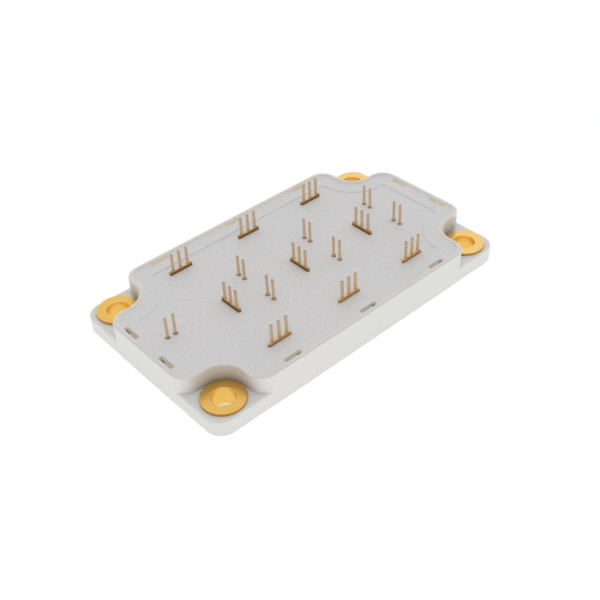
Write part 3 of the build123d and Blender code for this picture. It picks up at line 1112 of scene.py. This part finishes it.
@dataclass(frozen=True)
class CaseContour:
    """Outline of the upper case: four straight sides with a scoop round each screw and a flare at its ends."""

    half_x: float
    half_y: float
    mount_x: float
    mount_y: float
    scoop_radius: float = 6.6 * MM
    flare_radius: float = 5.2 * MM
    arc_steps: int = 14

    def arc(self, centre: Vector, radius: float, start: float, end: float) -> list[Vector]:
        """Points along an arc, angles in degrees."""
        turns = [math.radians(start + (end - start) * i / self.arc_steps) for i in range(self.arc_steps + 1)]
        return [centre + radius * Vector((math.cos(turn), math.sin(turn))) for turn in turns]

    def corner(self, inset: float) -> list[Vector]:
        """Contour round the corner at plus X and plus Y.

        Args:
            inset: how far it is drawn inward.

        Returns:
            Its points, anticlockwise.
        """
        scoop = self.scoop_radius + inset
        flare = self.flare_radius - inset
        low = Vector((self.half_x - inset - flare, self.mount_y - scoop - flare))
        left = Vector((self.mount_x - scoop - flare, self.half_y - inset - flare))
        return [
            *self.arc(low, flare, 0.0, 90.0),
            *self.arc(Vector((self.mount_x, self.mount_y)), scoop, 270.0, 180.0),
            *self.arc(left, flare, 0.0, 90.0),
        ]

    def loop(self, inset: float) -> list[Vector]:
        """The whole closed contour.

        Args:
            inset: how far it is drawn inward.

        Returns:
            Its points, anticlockwise.
        """
        points: list[Vector] = []
        for sign_x, sign_y in ((1, 1), (-1, 1), (-1, -1), (1, -1)):
            corner = [Vector((sign_x * point.x, sign_y * point.y)) for point in self.corner(inset)]
            points += corner if sign_x == sign_y else corner[::-1]
        return points


@dataclass(frozen=True)
class LatchCell:
    """One latch pocket on the inside of the rim."""

    centre: Vector
    along: Vector
    inward: Vector

    def line(self, ends: Span, off_wall: float, height: float) -> list[Point]:
        """Ends of a line in the pocket.

        Args:
            ends: where they lie along the pocket, from its middle.
            off_wall: how far the line lies from the rim's wall.
            height: how high it lies.

        Returns:
            The two points.
        """
        base = self.centre + self.inward * off_wall
        return [(*(base + self.along * place), height) for place in ends]


@dataclass(frozen=True)
class LatchRow:
    """Places of the latch pockets along the rim, as in the solids."""

    contour: CaseContour
    wall: float = 1.2 * MM
    pitch_x: float = 27.4 * MM
    pitch_y: float = 15.8 * MM
    shift: float = 0.4 * MM
    end_shift: float = 0.15 * MM
    length: float = 5.6 * MM
    depth: float = 1.72 * MM

    def side_cells(self, side: Side) -> list[LatchCell]:
        """Pockets along the long side of the case at minus or plus Y.

        Args:
            side: which of the two.

        Returns:
            The pockets, along X.
        """
        sign = side.value
        y = sign * (self.contour.half_y - self.wall)
        places = (-self.pitch_x, 0.0, self.pitch_x)
        along, inward = Vector((1.0, 0.0)), Vector((0.0, -sign))
        return [LatchCell(Vector((x - sign * self.shift, y)), along, inward) for x in places]

    def end_cells(self, side: Side) -> list[LatchCell]:
        """Pockets along the short side of the case at minus or plus X.

        Args:
            side: which of the two.

        Returns:
            The pockets, along Y.
        """
        sign = side.value
        x = sign * (self.contour.half_x - self.wall)
        places = (-self.pitch_y / 2, self.pitch_y / 2)
        along, inward = Vector((0.0, 1.0)), Vector((-sign, 0.0))
        return [LatchCell(Vector((x, y - sign * self.end_shift)), along, inward) for y in places]


@dataclass
class Housing:
    """The moulded case frame, the lid in it, and the sealant between them and in the latch pockets."""

    contour: CaseContour
    latches: LatchRow
    case_finish: Material
    lid_finish: Material
    bead_finish: Material
    fill_finishes: dict[Side, Material]
    dark_spot_finish: Material
    case_edges: EdgeSoftening = EdgeSoftening(width=0.14 * MM, segments=3)
    lid_edges: EdgeSoftening = EdgeSoftening(width=0.09 * MM)
    lid_top: float = 10.1 * MM
    bead_radius: float = 0.22 * MM
    bead_inset: float = 1.332 * MM
    bead_step: float = 0.6 * MM
    bead_unevenness: float = 0.15
    bead_seed: int = 7
    fill_top: float = 10.03 * MM
    fill_depth: float = 0.7 * MM
    fill_edge: float = 0.06 * MM
    fill_step: float = 0.7 * MM
    fill_unevenness: float = 0.015
    spot_top: float = 10.07 * MM
    spot_depth: float = 0.2 * MM
    spot_width: float = 0.7 * MM
    spot_off_wall: float = 0.72 * MM
    spot_step: float = 0.25 * MM
    spot_unevenness: float = 0.35
    end_spot: Span = (0.2 * MM, 1.9 * MM)
    side_spot: Span = (1.1 * MM, 2.1 * MM)

    def build(self) -> list[Piece]:
        """Build the pieces.

        Returns:
            The case, the lid, the sealant and the dark spots.
        """
        case = softened_copy("case_frame", "softened_case_frame", self.case_edges, self.case_finish)
        lid = softened_copy("lid", "softened_lid", self.lid_edges, self.lid_finish)
        added = [self.seal_bead(), *(self.pocket_sealant(side) for side in Side), self.glue_spots()]
        return [case, lid, *added]

    def seal_bead(self) -> Piece:
        """Sealant squeezed up along the rim.

        Returns:
            The bead, on the lid.
        """
        points = [(*point, self.lid_top) for point in self.contour.loop(self.bead_inset)]
        edges = [(i, (i + 1) % len(points)) for i in range(len(points))]
        return grow(raw_mesh("bead_path", points, edges), "seal_bead", BEAD_TREE, {
            "Width": 2 * self.bead_radius, "Height": 2 * self.bead_radius, "Roundness": self.bead_radius,
            "Unevenness": self.bead_unevenness, "Step": self.bead_step, "Seed": self.bead_seed,
            "Material": self.bead_finish,
        })

    def laid_lines(self, name: str, points: list[Point], values: dict[str, Any]) -> Piece:
        """Lay a bead between the first two points, the next two, and so on.

        Args:
            name: the name of the piece.
            points: the ends of the beads.
            values: the inputs of the beads' tree.

        Returns:
            The beads as one piece.
        """
        lines = [(i, i + 1) for i in range(0, len(points), 2)]
        return grow(raw_mesh(name + "_lines", points, lines), name, BEAD_TREE, values)

    def pocket_sealant(self, side: Side) -> Piece:
        """Sealant that fills the latch pockets of one long and one short side.

        Args:
            side: the front for the sides at minus X and minus Y, the rear for the others.

        Returns:
            The sealant as one piece.
        """
        ends = (-self.latches.length / 2, self.latches.length / 2)
        points: list[Point] = []
        for cell in (*self.latches.side_cells(side), *self.latches.end_cells(side)):
            points += cell.line(ends, self.latches.depth / 2, self.fill_top - self.fill_depth / 2)
        return self.laid_lines(f"{side.name.lower()}_pocket_sealant", points, {
            "Width": self.latches.depth, "Height": self.fill_depth, "Roundness": self.fill_edge,
            "Unevenness": self.fill_unevenness, "Step": self.fill_step, "Seed": self.bead_seed + 1,
            "Material": self.fill_finishes[side],
        })

    def glue_spots(self) -> Piece:
        """Dark spots in the sealant of the pockets at minus X and minus Y.

        Returns:
            The drops as one piece.
        """
        points: list[Point] = []
        for cells, ends in (
            (self.latches.end_cells(Side.FRONT), self.end_spot),
            (self.latches.side_cells(Side.FRONT), self.side_spot),
        ):
            for cell in cells:
                points += cell.line(ends, self.spot_off_wall, self.spot_top - self.spot_depth / 2)
        return self.laid_lines("glue_spots", points, {
            "Width": self.spot_width, "Height": self.spot_depth, "Roundness": self.spot_depth / 2,
            "Unevenness": self.spot_unevenness, "Step": self.spot_step, "Seed": self.bead_seed + 2,
            "Material": self.dark_spot_finish,
        })


@dataclass
class ScrewBushings:
    """The four turned bushings in the corner scoops."""

    finish: Material
    edges: EdgeSoftening = EdgeSoftening(width=0.03 * MM)
    count: int = 4

    def build(self) -> list[Piece]:
        """Build the pieces.

        Returns:
            The bushings.
        """
        pieces = []
        for number in range(1, self.count + 1):
            piece = softened_copy(f"mounting_bushing_{number}", f"softened_bushing_{number}", self.edges, self.finish)
            pieces.append(piece)
        return pieces


@dataclass
class PowerCombs:
    """The nine sheet combs of the plus, minus and phase terminals."""

    finish: Material
    front_finish: Material
    edges: EdgeSoftening = EdgeSoftening(width=0.05 * MM)
    columns: int = 3

    def build(self) -> list[Piece]:
        """Build the pieces.

        Returns:
            The combs.
        """
        pieces = []
        for kind, finish in (("plus", self.finish), ("minus", self.front_finish), ("phase", self.finish)):
            for number in range(1, self.columns + 1):
                piece = softened_copy(f"{kind}_terminal_{number}", f"coined_{kind}_comb_{number}", self.edges, finish)
                pieces.append(piece)
        return pieces


@dataclass
class BoardPins:
    """The square pins, each with a round foot, a ball at the lid and a coined tip."""

    finish: Material
    count: int = 14
    pin_w: float = 0.64 * MM
    corner_radius: float = 0.07 * MM
    corner_steps: int = 3
    tip_length: float = 0.5 * MM
    tip_share: float = 0.6
    foot_radius: float = 0.9 * MM
    foot_height: float = 0.6 * MM
    foot_power: float = 7.0
    ball_radius: float = 0.6 * MM
    ball_bottom: float = 9.3 * MM
    ball_top: float = 10.1 * MM
    ball_power: float = 2.6
    end_share: float = 0.55
    sides: int = 20
    levels: int = 33
    sharp: float = math.radians(40)

    def build(self) -> list[Piece]:
        """Build the pins as one piece that stands for all their CAD nodes.

        Returns:
            The piece, in a list.
        """
        pins = grow(self.places(), "board_pins", self.tree(), self.sizes())
        for face in pins.data.polygons:
            face.use_smooth = True
        pins.data.set_sharp_from_angle(angle=self.sharp)
        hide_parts(*[f"signal_pin_{number}" for number in range(1, self.count + 1)])
        return [pins]

    def sizes(self) -> dict[str, Any]:
        """Inputs of the pins' tree.

        Returns:
            Their values, by name.
        """
        low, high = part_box("signal_pin_1")
        return {
            "Pin Width": self.pin_w, "Corner Radius": self.corner_radius, "Pin Height": high.z - low.z,
            "Tip Length": self.tip_length, "Tip Share": self.tip_share, "Foot Radius": self.foot_radius,
            "Foot Height": self.foot_height, "Ball Radius": self.ball_radius,
            "Ball Bottom": self.ball_bottom - low.z, "Ball Top": self.ball_top - low.z, "Material": self.finish,
        }

    def places(self) -> Mesh:
        """Places of the pins, taken from their own CAD nodes.

        Returns:
            A mesh with a vertex at the foot of each pin.
        """
        points = []
        for number in range(1, self.count + 1):
            low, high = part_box(f"signal_pin_{number}")
            points.append(((low.x + high.x) / 2, (low.y + high.y) / 2, low.z))
        return raw_mesh("pin_places", points)

    def tree(self) -> Tree:
        """Geometry tree that stands a pin on each vertex.

        Returns:
            The tree.
        """
        sheet = GrowthTree("board_pins", self.sizes())
        given = sheet.given
        square = sheet.rounded_box(
            given["Pin Width"], given["Pin Width"], given["Corner Radius"], steps=self.corner_steps, limit=False
        )
        circle = sheet.make("GeometryNodeCurvePrimitiveCircle", {"Resolution": self.sides, "Radius": 1.0})
        foot_scale = self.round_scale(sheet, given["Foot Radius"], self.foot_power)
        ball_scale = self.round_scale(sheet, given["Ball Radius"], self.ball_power)
        pin = sheet.add("GeometryNodeJoinGeometry")
        for bottom, top, profile, scale in (
            (0.0, given["Foot Height"], circle, foot_scale),
            (given["Ball Bottom"], given["Ball Top"], circle, ball_scale),
            (0.0, given["Pin Height"], square, self.tip_scale(sheet)),
        ):
            sheet.feed(pin.inputs[0], self.turned(sheet, bottom, top, profile, scale))
        inputs = {"Points": given["Geometry"], "Instance": pin.outputs[0]}
        return sheet.end(sheet.make("GeometryNodeInstanceOnPoints", inputs))

    def turned(self, sheet: GrowthTree, bottom: Number, top: Number, profile: Socket, scale: Socket) -> Socket:
        """Upright bar.

        Args:
            sheet: the tree in the making.
            bottom: the height of its lower end.
            top: the height of its upper end.
            profile: its section.
            scale: the size of the section along the bar.

        Returns:
            The bar.
        """
        start, end = (sheet.make("ShaderNodeCombineXYZ", {"Z": height}) for height in (bottom, top))
        line = sheet.make("GeometryNodeCurvePrimitiveLine", {"Start": start, "End": end})
        even = sheet.make("GeometryNodeResampleCurve", {"Curve": line, "Count": self.levels})
        return sheet.swept(even, profile, scale)

    def tip_scale(self, sheet: GrowthTree) -> Socket:
        """Full width along the pin, drawn in over the tip's length.

        Args:
            sheet: the tree in the making.

        Returns:
            The scale of the section.
        """
        height = sheet.split(sheet.make("GeometryNodeInputPosition"))[2]
        below_tip = sheet.math("SUBTRACT", sheet.given["Pin Height"], height)
        share = sheet.math("DIVIDE", below_tip, sheet.given["Tip Length"])
        share = sheet.math("MINIMUM", sheet.math("MAXIMUM", share, 0.0), 1.0)
        return sheet.between(sheet.math("SQRT", share), sheet.given["Tip Share"], 1.0)

    def round_scale(self, sheet: GrowthTree, radius: Socket, power: float) -> Socket:
        """Radius along a barrel whose ends are rounded.

        Args:
            sheet: the tree in the making.
            radius: the radius at its middle.
            power: a higher one gives a flatter barrel.

        Returns:
            The scale of the section.
        """
        along = sheet.make("GeometryNodeSplineParameter")
        offset = sheet.math("ABSOLUTE", sheet.math("MULTIPLY_ADD", along, 2.0, -1.0))
        drop = sheet.math("SUBTRACT", 1.0, sheet.math("POWER", offset, power))
        shape = sheet.math("POWER", sheet.math("MAXIMUM", drop, 0.0), 1.0 / power)
        return sheet.math("MULTIPLY", sheet.math("MAXIMUM", shape, self.end_share), radius)


@dataclass
class HiddenParts:
    """CAD nodes that keep their shape and get their finish by slot."""

    finishes: dict[str, Material]

    def dress(self) -> int:
        """Give each node of a listed slot its finish.

        Returns:
            The number of nodes dressed.
        """
        dressed = 0
        for entry in frame["record"]["subparts"]:
            finish = self.finishes.get(entry["material_slot"])
            if finish is not None:
                mesh = frame["nodes"][entry["node"]].data
                mesh.materials.clear()
                mesh.materials.append(finish)
                dressed += 1
        return dressed


@dataclass(frozen=True)
class PhotoCamera:
    """The camera fitted to the photograph."""

    azimuth: float = math.radians(-40.321)
    elevation: float = math.radians(39.686)
    roll: float = math.radians(-2.897)
    distance: float = 262.652 * MM
    target: Point = (-2.765 * MM, -4.088 * MM, 0.0)
    focal_px: float = 897.632
    image_px: float = 600.0
    lift_px: float = 0.15
    sensor: float = 36.0
    clip: Span = (10 * MM, 20.0)

    def build(self) -> Piece:
        """Build the camera and make it the scene's.

        Returns:
            The camera.
        """
        flat = math.cos(self.elevation)
        back = Vector((math.sin(self.azimuth) * flat, -math.cos(self.azimuth) * flat, math.sin(self.elevation)))
        level = Vector((math.cos(self.azimuth), math.sin(self.azimuth), 0.0))
        lift = back.cross(level)
        right = math.cos(self.roll) * level + math.sin(self.roll) * lift
        up = math.cos(self.roll) * lift - math.sin(self.roll) * level
        data = bpy.data.cameras.new("photo_camera")
        data.sensor_width = self.sensor
        data.lens = self.sensor * self.focal_px / self.image_px
        data.shift_y = -self.lift_px / self.image_px
        data.clip_start, data.clip_end = self.clip
        camera = shown("photo_camera", data)
        turned = Matrix((right, up, back)).transposed().to_4x4()
        camera.matrix_world = Matrix.Translation(Vector(self.target) + self.distance * back) @ turned
        bpy.context.scene.camera = camera
        return camera


@dataclass
class Studio:
    """Pale floor, white surround and soft light."""

    mount_x: float
    mount_y: float
    hole_radius: float = 3.2 * MM
    hole_painted_glow: Colour = (0.64, 0.66, 0.48)
    hole_shade: Colour = (0.70, 0.60, 0.40)
    floor_size: float = 6.0
    floor_drop: float = 0.02 * MM
    floor_white: float = 0.9
    floor_share: float = 0.9
    floor_glow: float = 0.96
    floor_underlight: float = 0.62
    sky_horizon: float = 0.5
    sky_zenith: float = 0.98
    sky_back: float = 1.45
    back_direction: Point = (0.8, 0.6, 0.0)
    back_span: Span = (-0.2, 1.0)
    lamp_place: Point = (-0.1, -0.1, 0.9)
    lamp_size: float = 0.6
    lamp_watts: float = 0.3

    def build(self) -> None:
        """Build the floor, the surround and the lamp."""
        self.floor()
        self.surround()
        self.lamp()
        bpy.context.scene.view_settings.view_transform = "Standard"

    def floor(self) -> None:
        """Large flat floor, just under the object."""
        half = self.floor_size / 2
        corners = ((-half, -half), (half, -half), (half, half), (-half, half))
        mesh = raw_mesh("floor", [(x, y, -self.floor_drop) for x, y in corners], faces=[(0, 1, 2, 3)])
        mesh.materials.append(self.white_table())
        floor = shown("floor", mesh)

    def white_table(self) -> Material:
        """Finish of the floor: white to the camera and to metal, part of the shadow kept, and clear from below; under
        the screw holes it gives a painted brass glow to the light and painted shade to the camera.

        Returns:
            The material.
        """
        sheet = Surface("white_table")
        nodes = sheet.tree.nodes
        nodes.remove(nodes["Principled BSDF"])
        rays = sheet.add("ShaderNodeLightPath").outputs
        seen = sheet.math("MAXIMUM", rays["Is Camera Ray"], rays["Is Glossy Ray"])
        seen = sheet.math("MAXIMUM", seen, rays["Is Transmission Ray"])
        _, _, reach, _ = sheet.rings(self.mount_x, self.mount_y)
        open_floor = sheet.math("GREATER_THAN", reach, self.hole_radius)
        in_hole = sheet.math("MULTIPLY", rays["Is Camera Ray"], sheet.math("SUBTRACT", 1.0, open_floor))
        matt = sheet.make("ShaderNodeBsdfDiffuse", {"Color": [self.floor_white] * 3})
        # Painted light and shade: under the screw holes the floor glows tinted like brass, as bounced light, and the
        # camera sees painted shade there.
        underlight = sheet.make("ShaderNodeEmission", {
            "Color": sheet.tint(open_floor, self.hole_painted_glow, WHITE), "Strength": self.floor_underlight,
        })
        glow = sheet.make("ShaderNodeEmission", {"Color": WHITE, "Strength": self.floor_glow})
        shade = sheet.make("ShaderNodeEmission", {"Color": self.hole_shade, "Strength": 1.0})
        look = sheet.make("ShaderNodeAddShader", {0: matt, 1: underlight})
        for share, over in (
            (sheet.product(seen, open_floor, self.floor_share), glow),
            (in_hole, shade),
            (sheet.add("ShaderNodeNewGeometry").outputs["Backfacing"], sheet.make("ShaderNodeBsdfTransparent")),
        ):
            look = sheet.make("ShaderNodeMixShader", {0: share, 1: look, 2: over})
        sheet.feed(nodes["Material Output"].inputs["Surface"], look)
        return sheet.material

    def surround(self) -> None:
        """Light surround, brighter overhead than at the horizon, and brighter behind the object."""
        world = bpy.data.worlds.new("surround")
        world.use_nodes = True
        bpy.context.scene.world = world
        sheet = Sheet(world.node_tree)
        direction = sheet.add("ShaderNodeTexCoord").outputs["Generated"]
        height = sheet.split(direction)[2]
        facing = sheet.add("ShaderNodeVectorMath", {0: direction, 1: self.back_direction}, operation="DOT_PRODUCT")
        behind = sheet.rise(facing.outputs["Value"], self.back_span, self.sky_back)
        lowness = sheet.math("POWER", sheet.math("SUBTRACT", 1.0, height), 2.0)
        overhead = sheet.remap(height, (0.0, 1.0), self.sky_horizon, self.sky_zenith)
        light = sheet.math("MULTIPLY_ADD", behind, lowness, overhead)
        seen = sheet.add("ShaderNodeLightPath").outputs["Is Camera Ray"]
        back = world.node_tree.nodes["Background"]
        sheet.feed(back.inputs["Color"], WHITE)
        sheet.feed(back.inputs["Strength"], sheet.between(seen, light, 1.0))

    def lamp(self) -> None:
        """Square softbox overhead that faces the object."""
        data = bpy.data.lights.new("top_softbox", "AREA")
        data.size = self.lamp_size
        data.energy = self.lamp_watts
        lamp = shown("top_softbox", data)
        lamp.location = self.lamp_place
        lamp.rotation_mode = "QUATERNION"
        lamp.rotation_quaternion = Vector(self.lamp_place).to_track_quat("Z", "Y")


def report(pieces: Iterable[Piece]) -> None:
    """Log each piece with its face count."""
    for piece in pieces:
        log.info("%s: %d faces", piece.name, len(piece.data.polygons))


def main() -> None:
    """Build the looks in order and report each piece."""
    low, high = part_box("mounting_bushing_4")
    mount_x = (low.x + high.x) / 2
    mount_y = (low.y + high.y) / 2
    half_x, half_y = cad_box[1][0], cad_box[1][1]
    contour = CaseContour(half_x, half_y, mount_x, mount_y)
    case = FramePlastic(
        "case_plastic", colour=(0.69, 0.685, 0.665), cool=(0.67, 0.672, 0.66), mount_x=mount_x, mount_y=mount_y,
        half_x=half_x, half_y=half_y,
    )
    lid = LidPlastic(
        "lid_plastic", colour=(0.67, 0.66, 0.662), cool=(0.642, 0.642, 0.647), roughness=(0.49, 0.63),
        grain_depth=0.028 * MM, grain_share=0.65,
    )
    # The bead is sealant tan, made paler as painted light that lifts the shade in the trough by the rim.
    bead = CuredGel(
        "seam_sealant", colour=(0.84, 0.75, 0.65), shade=(0.78, 0.69, 0.59), near_grey=(0.62, 0.61, 0.585),
        near_grey_share=0.95, near_grey_x=(-30.8 * MM, -30 * MM), near_grey_y=(9.2 * MM, 10 * MM), near_greying=NearGreying.CORNER,
    )
    # Painted shade: the front sealant is darker than the rear one and greyed along the near sides, as the shade under
    # the rim.
    front_fill_painted_shade = CuredGel("front_sealant", colour=(0.47, 0.395, 0.285), shade=(0.42, 0.355, 0.25), near_grey_share=0.8)
    rear_fill = CuredGel("rear_sealant", colour=(0.66, 0.555, 0.41), shade=(0.60, 0.50, 0.36))
    dark_spot = CuredGel("dark_glue", colour=(0.15, 0.13, 0.09), shade=(0.09, 0.08, 0.055))
    report(Housing(
        contour, LatchRow(contour), case.build(), lid.build(), bead.build(),
        {Side.FRONT: front_fill_painted_shade.build(), Side.REAR: rear_fill.build()}, dark_spot.build(),
    ).build())
    report(ScrewBushings(TurnedBrass("turned_brass", mount_x, mount_y).build()).build())
    dark_comb = CombContact("comb_alloy", dark=(0.44, 0.245, 0.075), foot_share=0.95)
    bright_comb = CombContact("bright_comb_alloy", dark=(0.69, 0.43, 0.19), root_share=0.9)
    report(PowerCombs(dark_comb.build(), bright_comb.build()).build())
    report(BoardPins(RolledContact("pin_alloy").build()).build())
    hidden = HiddenParts({
        "plate": BrushedMetal("nickel_plate", (0.66, 0.63, 0.57), (0.58, 0.55, 0.5)).build(),
        "ceramic": FiredCeramic("alumina", (0.86, 0.86, 0.84), (0.66, 0.65, 0.62)).build(),
        "track": BrushedMetal("bonded_copper", (0.82, 0.42, 0.26), (0.68, 0.32, 0.19), roughness=0.38).build(),
        "chip": FacedSilicon("faced_silicon").build(),
        "ribbon": BrushedMetal("soft_aluminium", (0.82, 0.82, 0.83), (0.72, 0.72, 0.74), roughness=0.25).build(),
        "sensor": FiredCeramic("sintered_sensor", (0.10, 0.09, 0.09), (0.03, 0.03, 0.03), roughness=0.5).build(),
    })
    log.info("hidden parts dressed: %d", hidden.dress())
    PhotoCamera().build()
    Studio(mount_x, mount_y).build()


if __name__ == "__main__":
    main()
